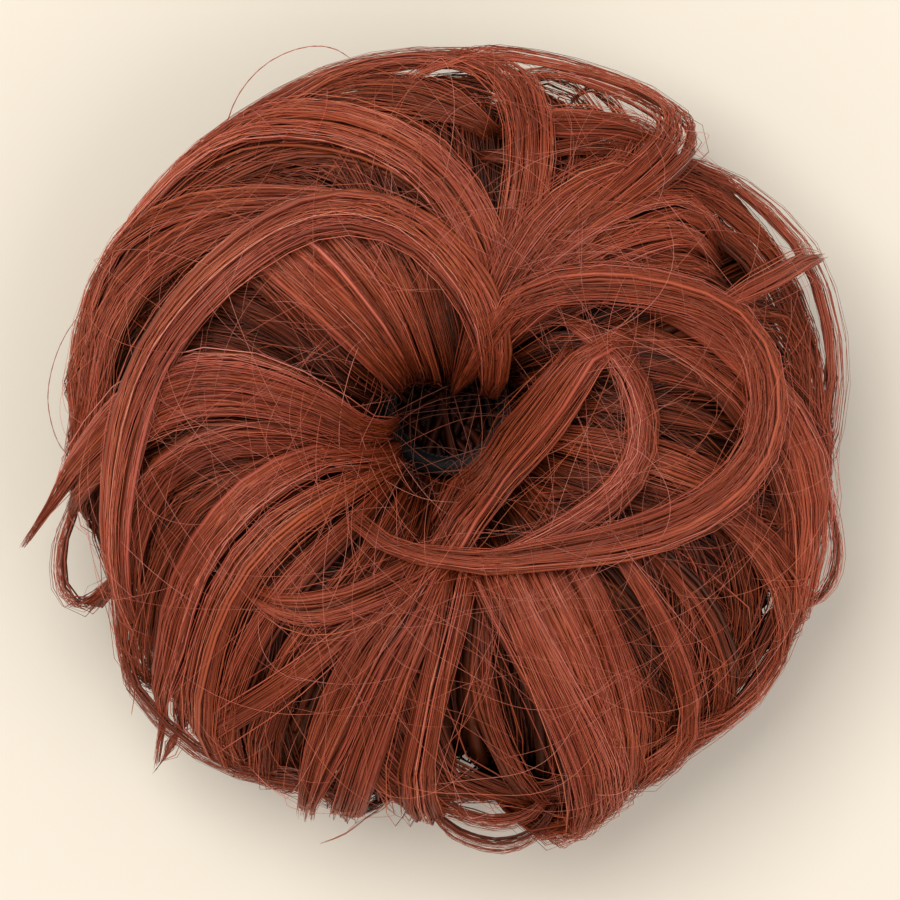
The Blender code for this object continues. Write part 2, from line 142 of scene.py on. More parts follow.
def layStrands(guide, form, rng):
    # Strands of one lock: each belongs to a clump that wanders over the lock's width, lies at
    # its own place in that clump, and waves with it; across and lift are added to the guide.
    count, clumps = form["count"], form["clumps"]
    stations = max(form["fewest"], int(guide["length"] / form["spacing"]) + 1)
    start = rng.uniform(0, form["startCut"], (count, 1))
    end = 1 - rng.uniform(0, 1, (count, 1)) ** 2 * form["endCut"]
    share = start + (end - start) * np.linspace(0, 1, stations)[None, :]
    around, up, offset, acrossAround, acrossUp, wide, thick = readAlong(guide["rows"], share)
    middles = (np.arange(clumps) + 0.5) / clumps * 2 - 1 + rng.uniform(-0.5, 0.5, clumps) / clumps
    member = rng.integers(0, clumps, count)
    phase = rng.uniform(0, 2 * np.pi, (2, clumps))[:, member, None]
    pace = rng.uniform(*form["pace"], (2, clumps))[:, member, None]
    turn = 2 * np.pi * share
    small, quick = form["secondWave"]
    wander = form["wander"] * (np.sin(pace[0] * turn + phase[0])
                               + small * np.sin(quick * pace[1] * turn + phase[1]))
    place, second = rng.uniform(-1, 1, (2, count, 1))
    twist = turn * rng.uniform(-1, 1, (count, 1)) * form["twist"]
    place = place * np.cos(twist) + second * np.sin(twist)
    late = np.clip((share - form["gatherFrom"]) / (1 - form["gatherFrom"]), 0, 1)
    own = place * form["overlap"] / clumps * (1 - form["gather"] * late**1.5)
    own += form["frizz"] * np.sin(turn * rng.uniform(*form["frizzWaves"], (count, 1))
                                  + rng.uniform(0, 2 * np.pi, (count, 1)))
    across = wide * np.clip(middles[member][:, None] + wander + own, -form["edge"], form["edge"])
    depth = rng.uniform(0, 1, (count, 1)) ** form["surface"]
    level = rng.uniform(form["lowClump"], 1, clumps)[member][:, None]
    dome = np.sqrt(np.clip(1 - (across / (form["domeWide"] * wide + 1e-6)) ** 2, form["domeLeast"], 1))
    lift = thick * level * dome * (1 - form["fallAway"] * place**2) * depth + form["lift"]
    stray = (rng.uniform(0, 1, (count, 1)) < form["strayShare"]) * np.sin(np.pi * share)
    across = across + stray * rng.normal(0, 1, (count, 1)) * form["strayOut"]
    lift = lift + stray * rng.uniform(*form["strayUp"], (count, 1))
    up = up + acrossUp * across
    around = around + acrossAround * across
    # Painted shade: the tone darkens as a strand lies nearer the tube and as it goes down the hole.
    coreShadeShare = np.clip(1 - (offset + lift) / form["depthReach"], 0, 1)
    holeShadeShare = np.clip((np.degrees(up) - form["throatShadeFrom"]) / form["throatShadeSpan"], 0, 1)
    offset = offset + rimStand(up) * form["rimShare"] + throatLift(around, up) + lift
    paths = shellPoint(around, up, offset)
    paths[..., 2] = np.maximum(paths[..., 2], form["floor"])
    radii = rng.uniform(*form["radius"], (count, 1))
    taper = np.clip(np.minimum(share - start, end - share) / form["tip"], form["tipLeast"], 1) ** 0.6
    tone = form["tone"] + form["toneSpread"] * rng.normal(0, 1, count)
    # Painted shade: strands deep in the lock get a darker tone and those on top a lighter one.
    tone += form["paintedLockShade"] * (depth[:, 0] - form["evenDepth"])
    tone += form["clumpTone"] * rng.normal(0, 1, clumps)[member]
    tone += (rng.uniform(0, 1, count) < form["lightShare"]) * form["light"]
    tone = tone[:, None] - form["paintedDepthShade"] * coreShadeShare - form["paintedThroatShade"] * holeShadeShare
    return {"paths": paths, "outs": outwards(around, up, offset), "radii": radii * taper,
            "flat": form["flat"], "sides": form["sides"], "tone": tone, "warm": rng.normal(0, 1, count)}


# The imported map: strips in rows, one strip for each strand, and its two end caps beside it.
mapForm = {"perRow": 12, "width": 0.86, "height": 0.96, "capWidth": 0.4, "capHeight": 0.01}


def tubeMesh(strands):
    # A closed tube on each path: ring points at path + radius (cos a side + flat sin a out).
    paths, sides = strands["paths"], strands["sides"]
    count, stations = paths.shape[:2]
    ahead = unit(np.gradient(paths, axis=1))
    side = unit(np.cross(ahead, strands["outs"]))
    out = np.cross(side, ahead)
    angle = np.pi * (0.5 + 2 * np.arange(sides) / sides)
    ring = (np.cos(angle)[:, None] * side[:, :, None]
            + strands["flat"] * np.sin(angle)[:, None] * out[:, :, None])
    points = paths[:, :, None] + strands["radii"][:, :, None, None] * ring
    index = np.arange(count * stations * sides).reshape(count, stations, sides)
    after = np.roll(index, -1, axis=2)
    quads = np.stack([index[:, :-1], index[:, 1:], after[:, 1:], after[:, :-1]], axis=-1)
    rows = max(1, int(round(np.sqrt(count / mapForm["perRow"]))))
    columns = -(-count // rows)
    strip = np.arange(count)
    left, low = (strip % columns) / columns, (strip // columns) / rows
    tall = mapForm["height"] / rows
    u = np.arange(sides + 1) / sides
    v = np.linspace(0, 1, stations)
    corners = np.empty((count, stations - 1, sides, 4, 2))
    corners[..., 0] = np.stack([u[:-1], u[:-1], u[1:], u[1:]], axis=-1)
    corners[..., 1] = np.stack([v[:-1], v[1:], v[1:], v[:-1]], axis=-1)[:, None, :]
    packed = np.empty_like(corners)
    packed[..., 0] = left[:, None, None, None] + corners[..., 0] * mapForm["width"] / columns
    packed[..., 1] = low[:, None, None, None] + corners[..., 1] * tall
    capOwn = np.stack([np.zeros(2 * count), np.repeat([0.0, 1.0], count)], axis=1)
    capPlace = np.stack([np.tile(left, 2), np.append(low, low + tall)], axis=1)
    spot = np.stack([mapForm["capWidth"] / columns * u[:-1],
                     mapForm["capHeight"] / rows * (np.arange(sides) % 2)], axis=1)
    capPacked = (capPlace[:, None] + spot[None]).reshape(-1, 2)
    return {"points": points.reshape(-1, 3), "quads": quads.reshape(-1, 4),
            "caps": np.concatenate([index[:, 0], index[:, -1, ::-1]]),
            "own": np.vstack([corners.reshape(-1, 2), np.repeat(capOwn, sides, axis=0)]),
            "packed": np.vstack([packed.reshape(-1, 2), capPacked]),
            "tone": np.repeat(np.broadcast_to(strands["tone"], (count, stations)).ravel(), sides),
            "warm": np.repeat(strands["warm"], stations * sides)}


made = {"triangles": 0, "largest": 0}  # counted for the printed lines


def makePiece(name, blocks, material, nodes=()):
    # The blocks end to end in one mesh, with strand maps and a tone for each point.
    corners, starts = [], []
    pointCount = cornerCount = 0
    for block in blocks:
        for faces in (block["quads"], block["caps"]):
            corners.append(faces.ravel() + pointCount)
            starts.append(cornerCount + faces.shape[1] * np.arange(len(faces)))
            cornerCount += faces.size
        pointCount += len(block["points"])
    joined = {key: np.concatenate([block[key] for block in blocks]).astype(np.float32)
              for key in ("points", "own", "tone", "warm")}
    joined["packed"] = np.vstack([(block["packed"] + [0, place]) / [1, len(blocks)]
                                  for place, block in enumerate(blocks)]).astype(np.float32)
    mesh = bpy.data.meshes.new(name)
    mesh.vertices.add(pointCount)
    mesh.vertices.foreach_set("co", joined["points"].ravel())
    mesh.loops.add(cornerCount)
    mesh.loops.foreach_set("vertex_index", np.concatenate(corners).astype(np.int32))
    starts = np.concatenate(starts).astype(np.int32)
    mesh.polygons.add(len(starts))
    mesh.polygons.foreach_set("loop_start", starts)
    mesh.update(calc_edges=True)
    for layer, key in (("strandMap", "own"), ("OFBake", "packed")):
        mesh.uv_layers.new(name=layer).uv.foreach_set("vector", joined[key].ravel())
    for key in ("tone", "warm"):
        mesh.attributes.new(key, "FLOAT", "POINT").data.foreach_set("value", joined[key])
    mesh.shade_smooth()
    mesh.materials.append(material)
    piece = bpy.data.objects.new(name, mesh)
    bpy.context.scene.collection.objects.link(piece)
    if nodes:
        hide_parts(*nodes)
    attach(piece, "root")
    triangles = cornerCount - 2 * len(starts)
    made["triangles"] += triangles
    made["largest"] = max(made["largest"], triangles)


class Signal:  # a socket with Python's operators
    tree = None

    def __init__(self, socket):
        self.socket = socket

    @staticmethod
    def node(kind, settings=None, **values):
        # Adds a node: settings first, then numbers or links for its sockets, by name or _place.
        added = Signal.tree.nodes.new(kind)
        for key, value in (settings or {}).items():
            if key == "stops":
                ramp = added.color_ramp
                while len(ramp.elements) < len(value):
                    ramp.elements.new(0.5)
                for element, (at, colour) in zip(ramp.elements, value):
                    element.position, element.color = at, (*colour, 1.0)
            else:
                setattr(added, key, value)
        for key, value in values.items():
            socket = added.inputs[int(key[1:]) if key[0] == "_" else key.replace("_", " ")]
            if isinstance(value, Signal):
                Signal.tree.links.new(value.socket, socket)
            else:
                socket.default_value = value
        return added

    @staticmethod
    def read(output, kind, settings=None, **values):
        # One output, by name or place, of a new node.
        return Signal(Signal.node(kind, settings, **values).outputs[output])

    @staticmethod
    def maths(operation, first, second):
        return Signal.read(0, "ShaderNodeMath", {"operation": operation}, _0=first, _1=second)

    def __add__(self, other):
        return Signal.maths("ADD", self, other)

    def __mul__(self, other):
        return Signal.maths("MULTIPLY", self, other)

    def __sub__(self, other):
        return Signal.maths("SUBTRACT", self, other)

    def __rsub__(self, other):
        return Signal.maths("SUBTRACT", other, self)

    __radd__, __rmul__ = __add__, __mul__

    def clamped(self):
        return Signal.read(0, "ShaderNodeClamp", Value=self)


def mixed(part, low, high, blend="MIX"):
    # A colour between two colours or links, or their product.
    both = {f"_{place}": value if isinstance(value, Signal) else (*value, 1.0)
            for place, value in ((6, low), (7, high))}
    return Signal.read(2, "ShaderNodeMix", {"data_type": "RGBA", "blend_type": blend}, _0=part, **both)


def newMaterial(name, constants):
    material = bpy.data.materials.new(name)
    material.use_nodes = True
    Signal.tree = material.node_tree
    shader = material.node_tree.nodes["Principled BSDF"]
    for key, value in constants.items():
        shader.inputs[key].default_value = value
    return material, shader


def feed(shader, key, signal):
    Signal.tree.links.new(signal.socket, shader.inputs[key])


def alongStrands(scale):
    # The strand map, stretched round and along the strand.
    strandMap = Signal.read("UV", "ShaderNodeUVMap", {"uv_map": "strandMap"})
    return Signal.read(0, "ShaderNodeMapping", Vector=strandMap, Scale=scale)


def hairMaterial(name, look):
    # Colour by strand tone, which carries painted shade besides the hair's own tone, with slow patches over
    # the bun and fine streaks along each strand.
    material, shader = newMaterial(name, {"Specular IOR Level": look["shine"], "Metallic": 0.0})
    tone, warm = (Signal.read("Fac", "ShaderNodeAttribute", {"attribute_name": key})
                  for key in ("tone", "warm"))
    place = Signal.read("Object", "ShaderNodeTexCoord")
    patches = Signal.read("Fac", "ShaderNodeTexNoise", Vector=place, Scale=look["patchScale"],
                          Detail=look["patchDetail"]) - 0.5
    streaks = Signal.read("Fac", "ShaderNodeTexNoise", Vector=alongStrands(look["streakStretch"]),
                          Scale=look["streakScale"], Detail=look["streakDetail"]) - 0.5
    shade = (tone + patches * look["patches"] + streaks * look["streaks"]).clamped()
    ramp = Signal.read("Color", "ShaderNodeValToRGB", {"stops": look["stops"]}, Fac=shade)
    warmth = (warm * look["warmSpread"] + look["warmMiddle"] + patches * look["warmPatches"]).clamped()
    tint = mixed(warmth, look["coolTint"], look["warmTint"])
    feed(shader, "Base Color", mixed(1.0, ramp, tint, "MULTIPLY"))
    feed(shader, "Roughness", look["roughness"] + streaks * look["roughStreaks"]
         - (shade - 0.5) * look["roughShade"])
    return material


hairLook = {
    "shine": 0.32, "roughness": 0.42, "patchScale": 55.0, "patchDetail": 2.0, "patches": 0.30,
    "streakStretch": (5.0, 9.0, 1.0), "streakScale": 2.0, "streakDetail": 3.0, "streaks": 0.24,
    "stops": ((0.0, (0.042, 0.009, 0.002)), (0.35, (0.180, 0.031, 0.008)), (0.62, (0.370, 0.073, 0.030)),
              (0.85, (0.560, 0.150, 0.085)), (1.0, (0.720, 0.280, 0.205))),
    "coolTint": (0.98, 0.82, 1.00), "warmTint": (1.05, 1.08, 0.70), "warmSpread": 0.22,
    "warmMiddle": 0.4, "warmPatches": 0.5, "roughStreaks": 0.16, "roughShade": 0.08,
}
underLook = dict(hairLook, shine=0.22, roughness=0.5)
strayLook = dict(hairLook, shine=0.5, roughness=0.36, patches=0.16, coolTint=(0.92, 0.92, 1.05),
                 warmTint=(1.04, 0.96, 0.86))
hairRed = hairMaterial("hairRed", hairLook)
hairUnder = hairMaterial("hairUnder", underLook)
hairStray = hairMaterial("hairStray", strayLook)

elasticLook = {
    "shine": 0.3, "sheen": 0.15, "stretch": (180.0, 26.0, 1.0), "detail": 2.0, "roughness": 0.6,
    "roughWeave": 0.3, "dark": (0.006, 0.006, 0.007), "light": (0.022, 0.020, 0.021), "bump": 0.5,
    "bumpDepth": 0.0002,
}


def elasticMaterial():
    # Black yarn: a matt base with a fine weave along the cord for its bumps.
    look = elasticLook
    material, shader = newMaterial("elasticBlack", {"Specular IOR Level": look["shine"], "Metallic": 0.0,
                                                    "Sheen Weight": look["sheen"]})
    weave = Signal.read("Fac", "ShaderNodeTexNoise", Vector=alongStrands(look["stretch"]), Scale=1.0,
                        Detail=look["detail"])
    feed(shader, "Base Color", mixed(weave, look["dark"], look["light"]))
    feed(shader, "Roughness", look["roughness"] + (weave - 0.5) * look["roughWeave"])
    feed(shader, "Normal", Signal.read(0, "ShaderNodeBump", Strength=look["bump"],
                                       Distance=look["bumpDepth"], Height=weave))
    return material


elasticBlack = elasticMaterial()
print("hair materials made")

# What a user would change in the hair: strands, and the ribbons that back them. Widths across a
# lock are shares of its half width, and lengths along it shares of its length.
strandForm = {
    "count": 100, "spacing": 0.0080, "fewest": 13, "startCut": 0.05, "endCut": 0.14, "clumps": 5,
    "wander": 0.12, "pace": (0.5, 1.3), "secondWave": (0.5, 2.3), "gather": 0.25, "gatherFrom": 0.35,
    "overlap": 1.35, "frizz": 0.05, "frizzWaves": (0.6, 2.6), "twist": 0.3, "edge": 1.25,
    "surface": 0.5, "lowClump": 0.35, "domeWide": 1.3, "domeLeast": 0.05, "fallAway": 0.5, "lift": 0.0,
    "strayShare": 0.22, "strayOut": 0.0020, "strayUp": (0.00024, 0.0012), "rimShare": 1.0,
    "floor": 0.0006, "radius": (0.00005, 0.00012), "tip": 0.07, "tipLeast": 0.14, "flat": 0.6,
    # Painted shade: a lighter tone on top of a lock and a darker one deep in it.
    "sides": 3, "tone": 0.56, "toneSpread": 0.11, "paintedLockShade": 0.10, "evenDepth": 0.6,
    # Painted shade: a darker tone near the tube and down the hole.
    "clumpTone": 0.09, "lightShare": 0.09, "light": 0.20, "depthReach": 0.0075, "paintedDepthShade": 0.26,
    "paintedThroatShade": 0.24, "throatShadeFrom": 108.0, "throatShadeSpan": 50.0,
}
backForm = dict(strandForm, count=20, spacing=0.0065, startCut=0.02, endCut=0.08, frizz=0.015,
                surface=1.0, lift=-0.0005, strayShare=0.0, lightShare=0.0, radius=(0.00030, 0.00060),
                flat=0.30, sides=4, tone=0.36, toneSpread=0.10)

# Under layer: name, degrees round at the root, crest and rim, share of the rim's stand.
underLocks = (
    ("under_lock_right_low", -12, -20, -26, 0.7), ("under_lock_right", 4, -2, -6, 0.5),
    ("under_lock_right_high", 20, 17, 13, 0.5), ("under_lock_top_right_low", 40, 36, 31, 0.85),
    ("under_lock_top_right", 56, 52, 50, 0.0), ("under_lock_top", 72, 70, 70, 0.0),
    ("under_lock_top_left", 90, 88, 91, 0.7), ("under_lock_upper_left_high", 108, 108, 112, 0.85),
    ("under_lock_upper_left", 126, 127, 133, 0.85), ("under_lock_left_high", 145, 145, 153, 0.85),
    ("under_lock_left", 165, 163, 172, 0.7), ("under_lock_left_low", 186, 182, 191, 0.2),
    ("under_lock_lower_left_high", 205, 200, 210, 0.7), ("under_lock_lower_left", 223, 220, 230, 0.85),
    ("under_lock_bottom_left", 240, 238, 245, 0.85), ("under_lock_bottom_middle", 257, 257, 258, 1.0),
    ("under_lock_bottom", 274, 276, 274, 0.0), ("under_lock_bottom_right", 293, 296, 291, 1.0),
    ("under_lock_lower_right", 312, 314, 307, 0.85), ("under_lock_lower_right_high", 330, 328, 321, 0.7),
)

# The photograph's camera: how many pixels and metres across, from how high, above which place.
photoView = {"pixels": 900, "cameraHeight": 1.53, "focusHeight": 0.030, "viewWidth": 0.162,
             "above": (0.0021, -0.0011), "usualHeight": 0.046}

# Locks seen in the photograph, by piece, which has its CAD node's name where it has one. A row
# is a lock: width in pixels, rise over the tube in millimetres, tone, how it starts and ends,
# and its route in the photograph's pixels. "hole" goes down the hole, "rim" tucks under the rim,
# "under" narrows and dives below its neighbours, "behind" dives at its full width and "free" is
# a loose tip.
seenLocks = {
    "lock_top": (
     (32, 7.5, 0.56, "hole", "rim", ((470, 350), (488, 315), (510, 265), (527, 200), (532, 145), (524, 98),
      (498, 68), (450, 56), (395, 58), (340, 70), (290, 93), (245, 120), (205, 150))),),
    "edge_upper_left": (
     (40, 5.2, 0.54, "under", "rim", ((450, 66), (395, 66), (345, 72), (292, 94), (240, 128), (195, 165),
      (152, 208), (114, 254), (92, 300), (80, 350), (78, 400), (86, 450))),
     (26, 4.6, 0.5, "under", "rim", ((540, 62), (480, 58), (420, 60), (360, 70), (306, 90), (256, 120),
      (212, 156), (172, 196))),),
    "loop_top_right": (
     (22, 9.0, 0.55, "under", "under", ((520, 300), (560, 245), (615, 202), (660, 165), (682, 132),
      (670, 104), (640, 86), (600, 72), (550, 60), (500, 52), (440, 53), (370, 62))),
     (16, 8.0, 0.5, "under", "under", ((515, 290), (550, 240), (600, 196), (640, 162), (664, 130),
      (650, 106), (618, 92), (580, 78), (530, 66), (480, 60))),),
    "top_right_links": (
     (9, 5.0, 0.5, "under", "under", ((530, 66), (562, 84), (590, 112), (618, 136))),
     (7, 5.0, 0.52, "under", "under", ((580, 72), (602, 92), (626, 122), (640, 146))),
     (20, 6.0, 0.52, "under", "under", ((500, 118), (545, 122), (590, 122), (635, 128), (668, 146),
      (690, 172))),
     (16, 5.0, 0.46, "under", "under", ((470, 150), (520, 160), (570, 150), (620, 150), (660, 160))),),
    "lock_top_fan": (
     (34, 7.5, 0.57, "hole", "under", ((478, 348), (515, 290), (552, 246), (590, 208), (622, 172),
      (638, 138), (634, 110))),),
    "lock_top_right_fan": (
     (34, 7.5, 0.56, "hole", "under", ((484, 352), (520, 305), (570, 268), (630, 242), (690, 236),
      (740, 256))),),
    "fan_top_right": (
     (24, 8.0, 0.6, "hole", "under", ((480, 350), (512, 300), (560, 256), (615, 222), (670, 204),
      (715, 216), (750, 246))),
     (22, 7.0, 0.52, "hole", "under", ((486, 356), (530, 316), (590, 280), (650, 264), (705, 268),
      (750, 292))),
     (20, 8.5, 0.6, "hole", "under", ((474, 346), (500, 290), (525, 240), (560, 200), (600, 176),
      (645, 168), (690, 186))),),
    "lock_right_edge": (
     (26, 5.0, 0.54, "under", "rim", ((640, 146), (692, 160), (738, 186), (780, 222), (808, 258),
      (824, 302), (833, 345), (834, 384), (828, 420))),),
    "rim_right": (
     (24, 4.5, 0.5, "under", "rim", ((610, 160), (664, 172), (712, 196), (752, 230), (784, 270), (804, 316),
      (812, 366), (812, 410))),
     (18, 4.0, 0.46, "under", "rim", ((650, 205), (700, 220), (744, 254), (774, 296), (792, 344),
      (798, 400), (800, 450))),),
    "lock_upper_left": (
     (34, 7.5, 0.58, "hole", "rim", ((474, 352), (494, 325), (492, 270), (468, 212), (434, 170), (390, 142),
      (340, 126), (290, 121), (240, 130), (200, 153), (160, 190), (130, 226))),),
    "lock_top_left": (
     (34, 4.6, 0.46, "under", "under", ((500, 130), (450, 105), (400, 92), (350, 92), (300, 106),
      (250, 134))),
     (26, 4.2, 0.42, "hole", "under", ((462, 350), (470, 280), (462, 210), (440, 160), (405, 128),
      (360, 118))),),
    "band_upper_left": (
     (22, 5.0, 0.44, "under", "rim", ((470, 270), (448, 220), (416, 184), (372, 162), (320, 152),
      (270, 160), (222, 182), (176, 212), (136, 246), (112, 286))),
     (18, 7.5, 0.6, "under", "rim", ((478, 300), (446, 244), (404, 214), (352, 204), (292, 199), (232, 200),
      (178, 208), (132, 232), (102, 266), (86, 310), (80, 352))),
     (20, 5.0, 0.46, "under", "rim", ((400, 240), (350, 220), (290, 218), (230, 230), (176, 256),
      (134, 292), (108, 340), (98, 390), (100, 440))),),
    "lock_left_crown": (
     (30, 6.0, 0.5, "under", "rim", ((420, 262), (372, 228), (312, 212), (246, 220), (190, 240), (140, 274),
      (108, 320), (92, 372), (90, 420))),),
    "sweep_left_arc": (
     (36, 9.8, 0.62, "hole", "under", ((494, 388), (492, 345), (478, 302), (450, 262), (418, 234),
      (380, 218), (340, 214), (300, 223), (258, 247), (222, 276), (190, 311), (162, 351), (142, 396),
      (128, 446), (119, 502), (114, 560), (113, 618), (121, 660), (136, 692))),),
    "fan_upper_left": (
     (26, 7.0, 0.58, "hole", "behind", ((404, 392), (362, 350), (312, 302), (270, 264), (240, 240))),
     (30, 7.6, 0.66, "hole", "behind", ((416, 390), (380, 338), (336, 286), (296, 246), (268, 222))),
     (28, 7.0, 0.6, "hole", "behind", ((428, 388), (400, 334), (364, 278), (330, 236), (306, 208))),
     (26, 6.4, 0.52, "hole", "behind", ((440, 386), (420, 330), (394, 272), (366, 230), (346, 204))),
     (22, 6.0, 0.44, "hole", "behind", ((452, 384), (438, 325), (420, 272), (398, 236), (384, 210))),
     (20, 5.6, 0.38, "hole", "behind", ((464, 380), (454, 322), (444, 276), (430, 240))),),
    "fan_left_dark": (
     (18, 4.0, 0.26, "hole", "under", ((360, 396), (300, 346), (244, 308), (192, 292), (150, 300))),
     (18, 4.0, 0.3, "hole", "under", ((350, 408), (290, 372), (230, 346), (176, 344), (134, 368))),
     (16, 4.6, 0.36, "hole", "under", ((380, 392), (330, 340), (280, 296), (226, 262), (180, 254))),),
    "lock_left_fan": (
     (28, 8.0, 0.61, "hole", "free", ((372, 430), (320, 402), (264, 380), (208, 373), (162, 386),
      (124, 413), (92, 447), (62, 486), (38, 521), (21, 548))),
     (22, 7.0, 0.55, "hole", "free", ((370, 438), (312, 416), (254, 402), (198, 402), (150, 420),
      (112, 450), (86, 484), (66, 516))),),
    "loop_left": (
     (12, 5.0, 0.52, "under", "under", ((104, 466), (78, 496), (62, 536), (59, 576), (68, 600), (88, 605),
      (106, 590), (124, 562))),),
    "lock_left_low": (
     (22, 6.0, 0.5, "hole", "rim", ((366, 452), (304, 442), (246, 438), (194, 452), (154, 482), (132, 526),
      (122, 576), (124, 626), (134, 668))),
     (20, 5.0, 0.44, "hole", "rim", ((372, 460), (310, 462), (250, 478), (204, 508), (172, 548), (154, 598),
      (148, 650))),),
    "lock_crossing": (
     (14, 9.6, 0.6, "under", "behind", ((566, 340), (552, 372), (530, 410), (500, 448), (468, 482),
      (432, 512))),
     (28, 10.8, 0.63, "under", "behind", ((644, 356), (616, 343), (590, 356), (564, 396), (535, 438),
      (506, 476), (476, 512), (448, 542), (420, 566))),),
    "lock_long_left": (
     (27, 8.0, 0.62, "hole", "free", ((386, 456), (332, 458), (282, 478), (236, 514), (202, 558),
      (180, 608), (167, 660), (160, 712), (154, 768))),
     (12, 6.0, 0.5, "under", "free", ((196, 620), (188, 672), (180, 722), (166, 754), (152, 774))),),
    "lock_lower_left": (
     (27, 7.0, 0.6, "hole", "rim", ((396, 466), (344, 492), (292, 524), (252, 564), (224, 614), (208, 668),
      (202, 718), (214, 752))),),
    "band_lower_left": (
     (19, 5.8, 0.52, "hole", "rim", ((404, 470), (360, 518), (312, 562), (272, 612), (246, 662), (230, 712),
      (234, 756))),
     (22, 4.6, 0.44, "hole", "rim", ((414, 476), (382, 540), (340, 594), (300, 650), (274, 704), (262, 752),
      (270, 782))),
     (20, 5.4, 0.52, "under", "rim", ((108, 584), (112, 636), (128, 680), (156, 716), (190, 746),
      (232, 768), (280, 782), (322, 786))),),
    "crossing_tail": (
     (22, 7.5, 0.57, "behind", "under", ((476, 520), (436, 556), (392, 584), (346, 602), (302, 609),
      (262, 600), (232, 584))),),
    "sweep_right_arc": (
     (30, 9.8, 0.6, "hole", "free", ((484, 352), (505, 312), (545, 291), (596, 285), (648, 290), (695, 302),
      (731, 322), (755, 354), (765, 398), (758, 444), (733, 482), (692, 513), (642, 534), (588, 547),
      (530, 556), (470, 560), (416, 553), (376, 536), (352, 515))),),
    "sweep_inner_arc": (
     (20, 9.0, 0.6, "under", "under", ((536, 322), (586, 336), (620, 360), (640, 400), (642, 446),
      (622, 488), (584, 520), (538, 544), (488, 558), (440, 560))),),
    "lock_bottom_left": (
     (32, 7.2, 0.6, "behind", "free", ((446, 520), (432, 556), (408, 602), (376, 642), (348, 692),
      (326, 742), (311, 786), (304, 818))),),
    "bottom_strips": (
     (22, 6.6, 0.56, "behind", "rim", ((456, 520), (444, 560), (426, 608), (402, 662), (380, 714),
      (362, 764), (352, 796))),
     (16, 6.4, 0.54, "under", "rim", ((430, 560), (396, 590), (352, 628), (310, 664), (268, 694),
      (232, 716), (206, 734))),
     (16, 4.6, 0.42, "under", "rim", ((478, 560), (484, 610), (480, 660), (486, 710), (504, 756),
      (530, 796))),),
    "lock_bottom_middle": (
     (24, 6.8, 0.57, "behind", "rim", ((470, 520), (464, 560), (454, 614), (440, 670), (428, 726),
      (418, 776), (424, 808))),),
    "lock_bottom_bright": (
     (40, 8.0, 0.65, "behind", "rim", ((482, 520), (494, 560), (515, 606), (546, 668), (576, 730),
      (594, 786), (584, 826), (562, 840))),
     (34, 7.4, 0.62, "behind", "rim", ((530, 516), (552, 548), (576, 588), (598, 638), (617, 696),
      (626, 748), (616, 792), (592, 822))),
     (30, 7.0, 0.6, "behind", "rim", ((508, 520), (526, 560), (548, 604), (574, 658), (596, 716),
      (610, 768), (600, 812), (572, 834))),),
    "lock_lower_right": (
     (18, 7.4, 0.63, "under", "rim", ((576, 510), (604, 536), (628, 566), (650, 600), (676, 652),
      (690, 702), (683, 748), (662, 772))),),
    "band_lower_right": (
     (22, 5.0, 0.42, "under", "rim", ((600, 510), (640, 536), (664, 560), (694, 594), (722, 652),
      (724, 704), (700, 742))),
     (18, 4.6, 0.38, "hole", "rim", ((482, 460), (536, 524), (590, 588), (630, 652), (654, 712),
      (658, 752))),
     (22, 5.0, 0.5, "under", "rim", ((752, 470), (782, 520), (796, 574), (790, 624), (766, 676), (730, 716),
      (690, 744))),),
    "lock_right_lower_arc": (
     (36, 6.2, 0.57, "under", "rim", ((650, 466), (700, 496), (744, 528), (778, 570), (790, 614),
      (780, 656), (752, 698), (712, 730), (664, 752))),),
    "lock_right_side": (
     (30, 7.2, 0.6, "under", "rim", ((640, 304), (696, 326), (742, 360), (778, 400), (803, 442), (815, 492),
      (817, 540), (808, 584))),),
    "band_right": (
     (28, 5.4, 0.54, "under", "rim", ((600, 322), (660, 342), (714, 376), (756, 422), (784, 472),
      (798, 530), (794, 584))),
     (26, 5.6, 0.54, "hole", "under", ((500, 428), (560, 438), (622, 450), (684, 468), (742, 498),
      (780, 540))),
     (22, 4.4, 0.38, "hole", "under", ((498, 408), (560, 402), (630, 406), (700, 420), (756, 452))),
     (22, 4.8, 0.44, "hole", "under", ((496, 444), (556, 472), (622, 490), (690, 512), (744, 548))),
     (18, 4.4, 0.34, "hole", "under", ((496, 388), (560, 372), (630, 366), (700, 382), (756, 414))),),
    "loop_right": (
     (10, 5.0, 0.52, "under", "under", ((814, 430), (824, 484), (834, 522), (838, 552), (832, 582),
      (814, 606), (792, 630))),
     (14, 4.0, 0.5, "under", "rim", ((790, 380), (808, 430), (812, 490), (810, 548), (796, 600))),),
    "tuft_right": (
     (14, 9.5, 0.6, "under", "free", ((700, 316), (732, 300), (764, 284), (796, 266), (824, 257))),),
    "loop_bottom": (
     (13, 4.6, 0.5, "under", "under", ((396, 770), (424, 806), (458, 834), (500, 845), (540, 832),
      (572, 806))),
     (16, 3.6, 0.46, "under", "under", ((380, 740), (408, 782), (446, 810), (490, 822), (530, 816),
      (566, 792))),),
}

lockLook = {  # how much wider than its trace a lock's hair spreads, and how its ends lie
    "spread": 1.25, "throatUp": 166.0, "openUp": 96.0, "throat": 0.42, "point": 0.30, "tuck": 0.22,
    "narrowEnd": 0.34, "thickness": 0.0028, "endThickness": 0.35, "downUp": (172.0, 214.0),
    "tuckUp": (-14.0, -34.0, -56.0), "tuckOn": (1.3, 1.0, 0.5), "tuckSink": 0.0007,
    "diveShare": 0.18, "diveTo": 0.0022, "looseCut": 0.16, "tailCut": 0.05, "toneJitter": 0.02,
    "strandsPerMillimetre": 13.0, "backsPerMillimetre": 2.4, "clumpsPerMillimetre": 0.5,
    # The backing ribbons' darker tone is painted shade under the strands.
    "backPaintedShade": 0.12, "fewestStrands": 16, "fewestBacks": 4, "fewestClumps": 2,
    "searchUp": (176, 2, 175),
}


